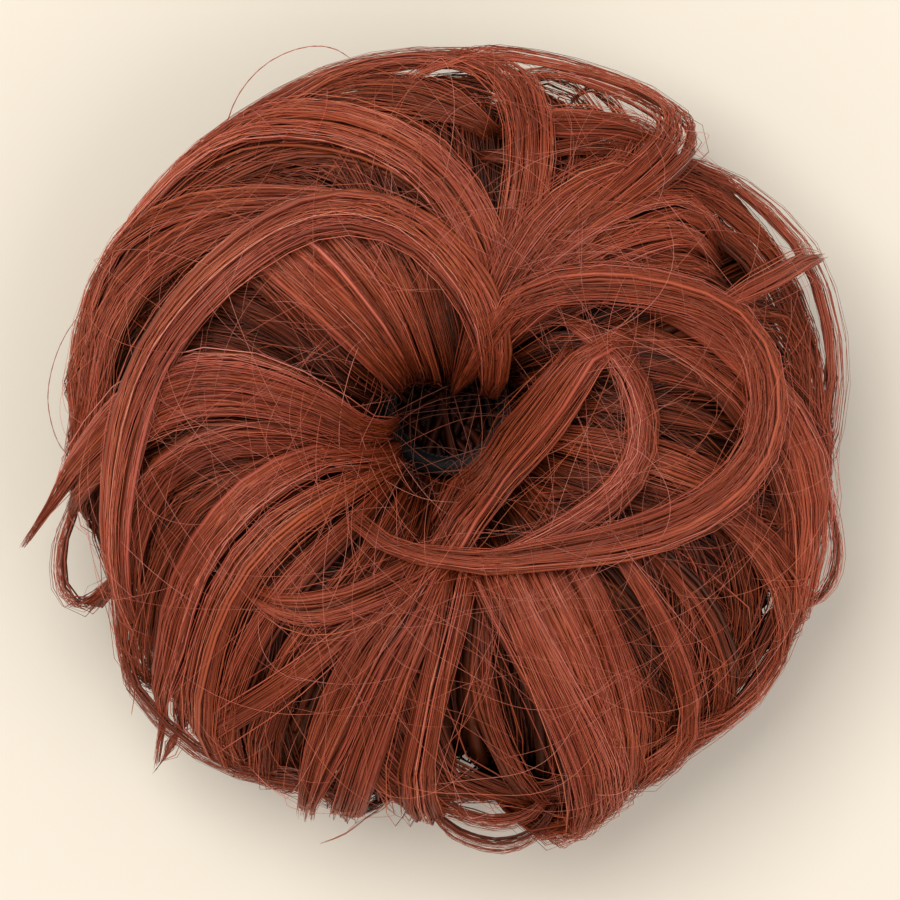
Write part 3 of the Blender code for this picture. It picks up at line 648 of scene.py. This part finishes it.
def placedOnTube(route, rise):
    # Back from the photograph: where the sight line through each pixel meets the tube, read
    # off the tube's own distances from the hole; past the rim the rest is stand.
    high = photoView["cameraHeight"]
    scale = (photoView["viewWidth"] / photoView["pixels"] * (high - photoView["usualHeight"])
             / (high - photoView["focusHeight"]))
    fromMiddle = (np.asarray(route, float) - photoView["pixels"] / 2) * [scale, -scale]
    east, north = (fromMiddle + photoView["above"] - bun["hub"]).T
    around, distance = np.unwrap(np.arctan2(north, east)), np.hypot(east, north)
    ups = np.radians(np.linspace(*lockLook["searchUp"]))[None, :]
    turned = around[:, None] * np.ones(ups.shape)
    reach = shellPoint(turned, ups, rise + rimStand(ups) + throatLift(turned, ups)) - [*bun["hub"], 0]
    reach = np.maximum.accumulate(np.hypot(reach[..., 0], reach[..., 1]), axis=1)
    up = np.array([np.interp(one, row, ups[0]) for one, row in zip(distance, reach)])
    return [list(point) for point in zip(around, up, rise + np.maximum(distance - reach[:, -1], 0))]


def lockGuide(width, rise, start, end, route):
    # The route carried into the hole and under the rim, opening out of the throat and closing
    # to its ends; an end that isn't carried on dives under its neighbours.
    look = lockLook
    points = placedOnTube(route, rise)
    if start == "hole":
        for up in look["downUp"]:
            points.insert(0, [points[0][0], np.radians(up), rise])
    if end == "rim":
        onward = points[-1][0] - points[-2][0]
        for place, (up, share) in enumerate(zip(look["tuckUp"], look["tuckOn"])):
            points.append([points[-1][0] + onward * share, np.radians(up),
                           rise - look["tuckSink"] * (place + 1)])

    def closing(share, run, power):
        # One along the lock, falling off over the last run of its length.
        return np.clip(share / run, look["narrowEnd"], 1) ** power

    def ends(stations, share):
        first = last = np.ones(share.shape)
        if start == "hole":
            opening = (look["throatUp"] - np.degrees(stations[:, 1])) / (look["throatUp"] - look["openUp"])
            first = look["throat"] + (1 - look["throat"]) * np.clip(opening, 0, 1)
        elif start != "behind":
            first = closing(share, look["point"], 0.6)
        if end != "behind":
            last = closing(1 - share, look["tuck"] if end == "rim" else look["point"], 0.7)
        return first, last

    def wide(stations, share):
        first, last = ends(stations, share)
        return width / 2 * first * last

    def thick(stations, share):
        least = look["endThickness"]
        return look["thickness"] * (least + (1 - least) * np.minimum(*ends(stations, share)))

    guide = guideOf(points, wide, thick)
    share = np.linspace(0, 1, guide["rows"].shape[1])
    for kind, away in ((start, share), (end, 1 - share)):
        if kind in ("under", "behind"):
            sunk = np.clip(1 - away / look["diveShare"], 0, 1) ** 1.5
            guide["rows"][2] += sunk * (look["diveTo"] - guide["rows"][2])
    return guide


def lockBlocks(guide, width, tone, rng, **changes):
    # A lock's backing ribbons and the strands over them, as many as its width asks for.
    look, millimetres = lockLook, width * 1000
    clumps = max(look["fewestClumps"], int(round(millimetres * look["clumpsPerMillimetre"])))
    backs = max(look["fewestBacks"], int(millimetres * look["backsPerMillimetre"]))
    count = max(look["fewestStrands"], int(millimetres * look["strandsPerMillimetre"]))
    # Painted shade: the backing ribbons get a darker tone than the strands over them.
    back = dict(backForm, count=backs, tone=tone - look["backPaintedShade"], clumps=clumps)
    strand = dict(strandForm, count=count, tone=tone, clumps=clumps, **changes)
    return [tubeMesh(layStrands(guide, form, rng)) for form in (back, strand)]


def makeSeenLocks():
    pixel = photoView["viewWidth"] / photoView["pixels"]
    for place, (name, rows) in enumerate(seenLocks.items()):
        rng = np.random.default_rng(100 + place)
        blocks = []
        for pixelsWide, rise, tone, start, end, route in rows:
            width = pixelsWide * pixel * lockLook["spread"]
            tone += rng.uniform(-1, 1) * lockLook["toneJitter"]
            blocks += lockBlocks(lockGuide(width, rise / 1000, start, end, route), width, tone, rng,
                                 endCut=lockLook["tailCut" if end == "rim" else "looseCut"])
        owned = (name,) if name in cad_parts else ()
        makePiece("strands_" + name if owned else name, blocks, hairRed, owned)


underForm = {
    "thickness": 0.0040, "floor": 0.0008, "rootUp": 226.0, "crestUp": 90.0, "rimUp": -54.0, "steps": 15,
    "overlap": 1.25, "strandsPerMillimetre": 3.0, "backsPerMillimetre": 0.8,
    # The under layer's low tones are painted shade beneath the locks.
    "strand": {"spacing": 0.0085, "strayShare": 0.03, "endCut": 0.05, "clumps": 8, "tone": 0.28,
               "radius": (0.00014, 0.00030)},
    "back": {"spacing": 0.0095, "clumps": 7, "tone": 0.16, "radius": (0.0009, 0.0014)},
}


def makeUnderLocks():
    # Side by side round the tube: each middle line is a parabola through its root, crest and
    # rim, and its hair reaches over the lines halfway to its neighbours.
    root, crest, rim = np.radians([underForm[key] for key in ("rootUp", "crestUp", "rimUp")])
    up = np.linspace(root, rim, underForm["steps"])
    share = (up - rim) / (root - rim)
    middles = [np.polyval(np.polyfit([1.0, (crest - rim) / (root - rim), 0.0], np.radians(row[1:4]), 2),
                          share) for row in underLocks]
    before = [middles[-1] - 2 * np.pi, *middles[:-1]]
    after = [*middles[1:], middles[0] + 2 * np.pi]
    for place, ((name, *_, stand), left, own, right) in enumerate(zip(underLocks, before, middles, after)):
        rng = np.random.default_rng(300 + place)
        distance = np.linalg.norm(shellPoint(own, up, 0.0)[:, :2] - bun["hub"], axis=1)
        middle = own + (left + right - 2 * own) / 4
        halfWide = (right - left) / 4 * distance * underForm["overlap"]
        points = np.stack([middle, up, np.full(len(up), underForm["floor"]), halfWide], axis=1)
        guide = guideOf(points, lambda stations, share: stations[:, 3],
                        lambda stations, share: np.full(len(share), underForm["thickness"]))
        millimetres = float(halfWide.max()) * 2000
        blocks = []
        for kind, form in (("back", backForm), ("strand", strandForm)):
            count = int(millimetres * underForm[kind + "sPerMillimetre"])
            form = {**form, **underForm[kind], "count": count, "rimShare": stand}
            blocks.append(tubeMesh(layStrands(guide, form, rng)))
        makePiece("strands_" + name, blocks, hairUnder, (name,))


makeUnderLocks()
print("under layer laid:", made["triangles"], "triangles")
makeSeenLocks()
print("seen locks laid:", made["triangles"], "triangles, largest piece", made["largest"])


def ringAngles(form):
    # Angles round a ring, by row, and round its section, by column.
    return np.meshgrid(*(np.arange(form[key]) * 2 * np.pi / form[key] for key in ("around", "across")),
                       indexing="ij")


def closedRing(points, tone=0.2):
    # A tube bent into a ring: faces between each row of points and the next, round both ways.
    rows, across = points.shape[:2]
    index = np.arange(rows * across).reshape(rows, across)
    after, beside = np.roll(index, -1, axis=0), np.roll(index, -1, axis=1)
    quads = np.stack([index, after, np.roll(after, -1, axis=1), beside], axis=-1).reshape(-1, 4)
    u = np.arange(rows + 1) / rows
    v = np.arange(across + 1) / across
    places = np.empty((rows, across, 4, 2))
    places[..., 0] = np.stack([u[:-1], u[1:], u[1:], u[:-1]], axis=-1)[:, None]
    places[..., 1] = np.stack([v[:-1], v[:-1], v[1:], v[1:]], axis=-1)[None]
    places = places.reshape(-1, 2)
    return {"points": points.reshape(-1, 3), "quads": quads, "caps": np.zeros((0, 3), int),
            "own": places, "packed": places, "tone": np.full(index.size, tone),
            "warm": np.zeros(index.size)}


elasticForm = {"ring": 0.011, "cord": 0.0019, "height": 0.0075, "around": 220, "across": 18, "ribs": 66,
               "strands": 6, "relief": 0.00018}


def makeElastic():
    # A round cord with slanting ribs: radius = cord - relief (1 + cos(ribs round + strands across)).
    form = elasticForm
    turn, across = ringAngles(form)
    radius = form["cord"] - form["relief"] * (1 + np.cos(form["ribs"] * turn + form["strands"] * across))
    points = aboutHub(form["ring"] + radius * np.cos(across), turn, form["height"] + radius * np.sin(across))
    makePiece("elastic_cord", [closedRing(points)], elasticBlack, ("elastic_band",))


weftForm = {"inner": 0.0133, "outer": 0.0195, "low": 0.0025, "high": 0.0125, "around": 96, "across": 20,
            "sunk": 0.0006, "turns": 84, "stations": 1500, "thread": 0.00062, "threadOut": 0.0002,
            "threadFlat": 0.7, "threadTone": 0.24}


def weftPlace(turn, across, grow):
    # On the weft's oval section: middle + (half width + grow) cos, half height alike in sin.
    form = weftForm
    middle, wide = (form["outer"] + form["inner"]) / 2, (form["outer"] - form["inner"]) / 2 - form["sunk"]
    centre, high = (form["high"] + form["low"]) / 2, (form["high"] - form["low"]) / 2 - form["sunk"]
    return aboutHub(middle + (wide + grow) * np.cos(across), turn, centre + (high + grow) * np.sin(across))


def makeWeft():
    # An oval ring of sewn hair wound with thread, a helix round the section.
    form = weftForm
    turn = 2 * np.pi * np.linspace(0, 1, form["stations"])[None, :]
    across = form["turns"] * turn
    wound = weftPlace(turn, across, form["threadOut"])
    thread = {"paths": wound, "outs": unit(weftPlace(turn, across, form["threadOut"] + 1e-3) - wound),
              "radii": np.full(turn.shape, form["thread"]), "flat": form["threadFlat"], "sides": 4,
              "tone": form["threadTone"], "warm": np.zeros(1)}
    blocks = [closedRing(weftPlace(*ringAngles(form), 0.0)), tubeMesh(thread)]
    makePiece("weft_wound", blocks, hairUnder, ("weft_ring",))


coreForm = {  # layers: how many strands, their radius, how flat they are, tone
    "layers": ((170, (0.0009, 0.0014), 0.22, 0.20), (260, (0.00012, 0.00026), 0.8, 0.36)),
    "overUp": (-60.0, 232.0), "baseUp": (-84.0, -40.0), "stations": 12, "drift": 0.10, "sway": 0.03,
    "swayWaves": (0.5, 2), "offset": (-0.0003, 0.0006), "throatShare": 0.5, "rimUp": -48.0,
    "baseHeight": (0.0007, 0.0022), "weftReach": 0.0205, "weftRise": (0.0030, 0.12),
    "rimRise": (0.0040, 0.18), "floor": 0.0005, "toneSpread": 0.08,
}


def makeCore():
    # Hair under all the locks, its dark tone painted shade: over the tube, then from under the rim in along
    # the flat base to the weft, its height going up over a share of its length at both ends.
    rng = np.random.default_rng(800)
    form = coreForm
    blocks = []
    share = np.linspace(0, 1, form["stations"])[None, :]
    for count, radius, flat, tone in form["layers"]:
        for key in ("overUp", "baseUp"):
            low, high = form[key]
            around = rng.uniform(0, 2 * np.pi, (count, 1)) + rng.normal(0, form["drift"], (count, 1)) * share
            waves = rng.uniform(*form["swayWaves"], (count, 1))
            around = around + form["sway"] * np.sin(2 * np.pi * share * waves)
            offset = rng.uniform(*form["offset"], (count, 1))
            up = np.radians(low + (high - low) * share) * np.ones((count, 1))
            if key == "overUp":
                paths = shellPoint(around, up, offset + throatLift(around, up) * form["throatShare"])
                outs = outwards(around, up, offset)
            else:
                rim = shellPoint(around[:, -1:], np.radians(form["rimUp"]), offset)[:, 0, :2] - bun["hub"]
                far = np.linalg.norm(rim, axis=1, keepdims=True)
                height = rng.uniform(*form["baseHeight"], (count, 1))
                for (rise, run), away in ((form["weftRise"], share), (form["rimRise"], 1 - share)):
                    height = height + rise * np.clip(1 - away / run, 0, 1)
                paths = aboutHub(form["weftReach"] + (far - form["weftReach"]) * share, around, height)
                outs = np.broadcast_to([0.0, 0.0, -1.0], paths.shape)
            paths[..., 2] = np.maximum(paths[..., 2], form["floor"])
            radii = rng.uniform(*radius, (count, 1)) * np.ones(share.shape)
            blocks.append(tubeMesh({"paths": paths, "outs": outs, "radii": radii, "flat": flat, "sides": 3,
                                    "tone": tone + form["toneSpread"] * rng.normal(0, 1, (count, 1)),
                                    "warm": rng.normal(0, 1, count)}))
    makePiece("core_hair", blocks, hairUnder, ("hair_core",))


makeElastic()
makeWeft()
makeCore()
print("elastic, weft and core laid:", made["triangles"], "triangles")

nestForm = {  # layers: piece, how many, radius, lowest, highest, tone, how flat they are, material
    # The ribbons' near-black tone is painted shade in the hole.
    "layers": (("hole_shade_ribbons", 80, (0.0009, 0.0015), 0.0015, 0.0048, 0.02, 0.25, hairUnder),
               ("hole_hairs", 40, (0.00004, 0.00009), 0.014, 0.034, 0.62, 1.0, hairStray)),
    "stations": 14, "span": (0.55, 1.45), "tilt": 0.003, "reach": 0.0185, "widerBy": 0.0035,
    "widerFrom": 0.02, "bow": 0.0085, "sag": 0.003, "floor": 0.0012, "toneSpread": 0.16,
}


def nestPaths(count, low, high, rng):
    # Bowed chords of the hole: from one side to another, sagging towards the middle.
    form = nestForm
    share = np.linspace(0, 1, form["stations"])[None, :]
    first = rng.uniform(0, 2 * np.pi, (count, 1))
    second = first + rng.uniform(*form["span"], (count, 1)) * np.pi
    height = rng.uniform(low, high, (count, 1)) + rng.normal(0, form["tilt"], (count, 1)) * (share - 0.5)
    wider = np.clip((height - form["widerFrom"]) / form["widerFrom"], -0.5, 1)
    reach = form["reach"] + form["widerBy"] * wider
    bows = rng.normal(0, form["bow"], (2, count, 1)) * np.sin(np.pi * share)
    flat = [middle + reach * (wave(first) * (1 - share) + wave(second) * share) + bow
            for middle, wave, bow in zip(bun["hub"], (np.cos, np.sin), bows)]
    paths = np.stack([*flat, height - form["sag"] * np.sin(np.pi * share)], axis=-1)
    return np.maximum(paths, [-1, -1, form["floor"]])


def makeNest():
    # Near-black ribbons under the elastic, painted shade in the hole, and loose single hairs above it.
    rng = np.random.default_rng(700)
    for name, count, radius, low, high, tone, flat, material in nestForm["layers"]:
        paths = nestPaths(count, low, high, rng)
        radii = rng.uniform(*radius, (count, 1)) * np.ones(paths.shape[:2])
        tones = tone + nestForm["toneSpread"] * rng.normal(0, 1, (count, 1))
        strands = {"paths": paths, "outs": np.broadcast_to([0.0, 0.0, 1.0], paths.shape), "radii": radii,
                   "flat": flat, "sides": 3, "tone": tones, "warm": rng.normal(0, 1, count)}
        makePiece(name, [tubeMesh(strands)], material)


# Fill between the named locks, a family for each part of the bun: name, how many, then the
# degrees round at the root, crest and rim of its first and of its last lock, and its run along
# the rim.
fillFamilies = (
    ("fill_upper_left", 4, (66, 92, 124, 40), (118, 140, 166, 26)),
    ("fill_fan", 3, (112, 108, 118, 24), (158, 146, 156, 20)),
    ("fill_left", 3, (165, 164, 174, 22), (205, 203, 214, 18)),
    ("fill_lower_left", 3, (212, 212, 222, 20), (255, 252, 256, 16)),
    ("fill_bottom", 2, (258, 258, 262, 18), (305, 303, 300, -16)),
    ("fill_lower_right", 4, (308, 308, 300, -22), (352, 340, 322, -30)),
    ("fill_right", 4, (4, -8, -26, -34), (48, 28, 6, -36)),
    ("fill_top_right", 3, (48, 40, 34, -26), (60, 56, 58, -12)),
    ("fill_top", 3, (66, 64, 68, 18), (78, 80, 90, 30)),
)
fillRoute = (  # shares of root, crest, rim, run and of three bends in the degrees round; up
    (1, 0, 0, 0, 0, 0, 0, 190), (1, 0, 0, 0, 0, 0, 0, 140), (0.3, 0.7, 0, 0, 1, 0, 0, 112),
    (0, 1, 0, 0, 0, 0, 0, 90), (0, 0.6, 0.4, 0, 0, 1, 0, 56), (0, 0.15, 0.85, 0, 0, 0, 1, 26),
    (0, 0, 1, 0.4, 0, 0, 0, 8), (0, 0, 1, 1, 0, 0, 0, -8), (0, 0, 1, 1.5, 0, 0, 0, -34),
)
# The fill's tone, lower than the named locks', is painted shade in the gaps between them.
fillForm = {"floor": 0.0032, "floorSpread": 0.0014, "thickness": 0.0026, "width": (0.0045, 0.010),
            "jitter": 5.0, "bend": 4.0, "tone": 0.32, "toneSpread": 0.06, "throatFrom": 92.0,
            "throatSpan": 110.0, "throat": 0.3, "tail": 0.2, "tailWidth": 0.25, "filled": 0.6,
            "endCut": 0.08, "radius": (0.00009, 0.0002)}


def makeFills():
    form = fillForm
    for place, (name, count, first, last) in enumerate(fillFamilies):
        rng = np.random.default_rng(500 + place)
        blocks = []
        for part in np.linspace(0, 1, count):
            steps = np.array(first) * (1 - part) + np.array(last) * part + rng.normal(0, form["jitter"], 4)
            width = rng.uniform(*form["width"])
            floor = form["floor"] + rng.uniform(-1, 1) * form["floorSpread"]
            steps = np.append(steps, rng.normal(0, form["bend"], 3))
            route = [(np.radians(shares @ steps), np.radians(up), floor)
                     for *shares, up in fillRoute]
            tone = form["tone"] + rng.uniform(-1, 1) * form["toneSpread"]
            blocks += fillBlocks(route, width, tone, rng)
        makePiece(name, blocks, hairRed)


def fillBlocks(route, width, tone, rng):
    # Half width falls off down the hole and to the tail, the thickness stays.
    form = fillForm

    def wide(stations, share):
        down = (np.degrees(stations[:, 1]) - form["throatFrom"]) / form["throatSpan"]
        tail = np.clip((1 - share) / form["tail"], form["tailWidth"], 1) ** 0.6
        return width / 2 * np.clip(1 - down, form["throat"], 1) * tail

    guide = guideOf(route, wide, lambda stations, share: np.full(len(share), form["thickness"]))
    return lockBlocks(guide, width * form["filled"], tone, rng, endCut=form["endCut"],
                      radius=form["radius"])


makeNest()
makeFills()
print("fill laid:", made["triangles"], "triangles")

# Loose single hairs that leave the outline: how many lie together, and the route in pixels.
looseLoops = (
    (4, ((222, 134), (228, 110), (240, 86), (262, 62), (290, 47), (316, 42), (336, 46), (354, 58))),
    (2, ((80, 308), (61, 335), (49, 365), (44, 395), (47, 420), (56, 445), (76, 468))),
    (5, ((404, 740), (394, 784), (372, 816), (346, 836), (318, 847))),
    (4, ((352, 750), (378, 786), (398, 816))),
    (5, ((700, 728), (690, 756), (668, 778), (648, 772))),
    (4, ((640, 726), (646, 760), (662, 780))),
    (3, ((132, 680), (131, 700), (128, 720))),
    (3, ((806, 590), (812, 566), (822, 520), (818, 470))),
)
looseForm = {
    "rise": 0.004, "halfWidth": 0.0007, "thickness": 0.0006,
    "strand": {"clumps": 1, "strayShare": 0.0, "startCut": 0.02, "endCut": 0.1, "spacing": 0.0035,
               "radius": (0.00007, 0.00013)},
}


def makeLooseLoops():
    rng = np.random.default_rng(860)
    blocks = []
    for count, route in looseLoops:
        guide = guideOf(placedOnTube(route, looseForm["rise"]),
                        lambda stations, share: np.full(len(share), looseForm["halfWidth"]),
                        lambda stations, share: np.full(len(share), looseForm["thickness"]))
        form = {**strandForm, **looseForm["strand"], "count": count}
        blocks.append(tubeMesh(layStrands(guide, form, rng)))
    makePiece("loose_loops", blocks, hairRed)


makeLooseLoops()

strayForm = {
    "count": 540, "stations": 16, "radius": (0.000030, 0.000052), "tone": (0.62, 0.95),
    "startUp": (35, 150), "upLimits": (28, 200), "reach": (0.5, 1.6), "bend": 0.9, "aroundShare": 0.62,
    "turning": (1.3, 1.15, 0.65), "lift": 0.0085, "liftSpread": 0.0035, "arch": 0.0035, "tip": 0.1,
    "tipLeast": 0.3,
}


def makeStrays():
    # Loose single hairs off the locks: the heading turns evenly, up adds reach cos heading and
    # round adds reach sin heading, more where the tube is nearer to the hub; arched in between.
    rng = np.random.default_rng(900)
    form = strayForm
    count, stations = form["count"], form["stations"]
    share = np.linspace(0, 1, stations)[None, :]
    around = rng.uniform(0, 2 * np.pi, (count, 1))
    up = np.radians(rng.uniform(*form["startUp"], (count, 1)))
    heading = rng.uniform(0, 2 * np.pi, (count, 1))
    reach = rng.uniform(*form["reach"], (count, 1))
    turned = heading + rng.normal(0, form["bend"], (count, 1)) * (share - 0.5)
    up = np.clip(up + reach * np.cumsum(np.cos(turned), axis=1) / stations, *np.radians(form["upLimits"]))
    most, middle, swing = form["turning"]
    spin = most / (middle + swing * np.cos(up))
    around = around + reach * form["aroundShare"] * np.cumsum(np.sin(turned) * spin, axis=1) / stations
    lift = form["lift"] + form["liftSpread"] * rng.uniform(0, 1, (count, 1))
    lift = lift + form["arch"] * np.sin(np.pi * share) * rng.uniform(0, 1, (count, 1))
    offset = lift + rimStand(up)
    radii = rng.uniform(*form["radius"], (count, 1)) * np.clip(
        np.minimum(share, 1 - share) / form["tip"], form["tipLeast"], 1)
    strands = {"paths": shellPoint(around, up, offset), "outs": outwards(around, up, offset),
               "radii": radii, "flat": 1.0, "sides": 3, "tone": rng.uniform(*form["tone"], (count, 1)),
               "warm": rng.normal(0, 1, count)}
    makePiece("stray_hairs", [tubeMesh(strands)], hairStray)


makeStrays()
print("stray hairs laid:", made["triangles"], "triangles")

stageForm = {"floorSize": 3.0, "floorColour": (0.745, 0.692, 0.60), "floorRoughness": 0.9,
             "floorShine": 0.1, "worldColour": (1.0, 0.97, 0.94), "worldStrength": 0.60}


def makeStage():
    half = stageForm["floorSize"] / 2
    mesh = bpy.data.meshes.new("floor")
    mesh.from_pydata([(-half, -half, 0), (half, -half, 0), (half, half, 0), (-half, half, 0)], [],
                     [(0, 1, 2, 3)])
    material, _ = newMaterial("paleFloor", {"Roughness": stageForm["floorRoughness"],
                                            "Specular IOR Level": stageForm["floorShine"],
                                            "Base Color": (*stageForm["floorColour"], 1.0)})
    mesh.materials.append(material)
    floor = bpy.data.objects.new("floor", mesh)
    bpy.context.scene.collection.objects.link(floor)
    world = bpy.data.worlds.new("studio")
    world.use_nodes = True
    back = world.node_tree.nodes["Background"]
    back.inputs["Color"].default_value = (*stageForm["worldColour"], 1.0)
    back.inputs["Strength"].default_value = stageForm["worldStrength"]
    bpy.context.scene.world = world


lamps = (  # name, place, size, watts, colour
    ("keyLamp", (-0.40, 0.40, 1.30), 0.90, 14.0, (1.0, 0.97, 0.92)),
    ("fillLamp", (0.80, -0.50, 1.20), 1.10, 7.0, (1.0, 0.97, 0.95)),
)
lampsAim = (0.0, 0.0, 0.03)


def makeLamps():
    for name, place, size, watts, colour in lamps:
        light = bpy.data.lights.new(name, "AREA")
        light.size, light.energy, light.color = size, watts, colour
        lamp = bpy.data.objects.new(name, light)
        lamp.location = place
        lamp.rotation_mode = "QUATERNION"
        lamp.rotation_quaternion = (Vector(lampsAim) - Vector(place)).to_track_quat("-Z", "Y")
        bpy.context.scene.collection.objects.link(lamp)


cameraForm = {"sensor": 36.0, "near": 0.05, "far": 10.0}


def makeCamera():
    # Straight above, the lens set so that the view is viewWidth across at focusHeight.
    data = bpy.data.cameras.new("camera")
    data.sensor_width = cameraForm["sensor"]
    reach = photoView["cameraHeight"] - photoView["focusHeight"]
    data.lens = cameraForm["sensor"] * reach / photoView["viewWidth"]
    data.clip_start, data.clip_end = cameraForm["near"], cameraForm["far"]
    camera = bpy.data.objects.new("camera", data)
    camera.location = (*photoView["above"], photoView["cameraHeight"])
    bpy.context.scene.collection.objects.link(camera)
    bpy.context.scene.camera = camera


makeStage()
makeLamps()
makeCamera()
bpy.context.scene.view_settings.view_transform = "Standard"
print("stage, lamps and camera set")

print("triangles:", made["triangles"], "largest piece:", made["largest"])
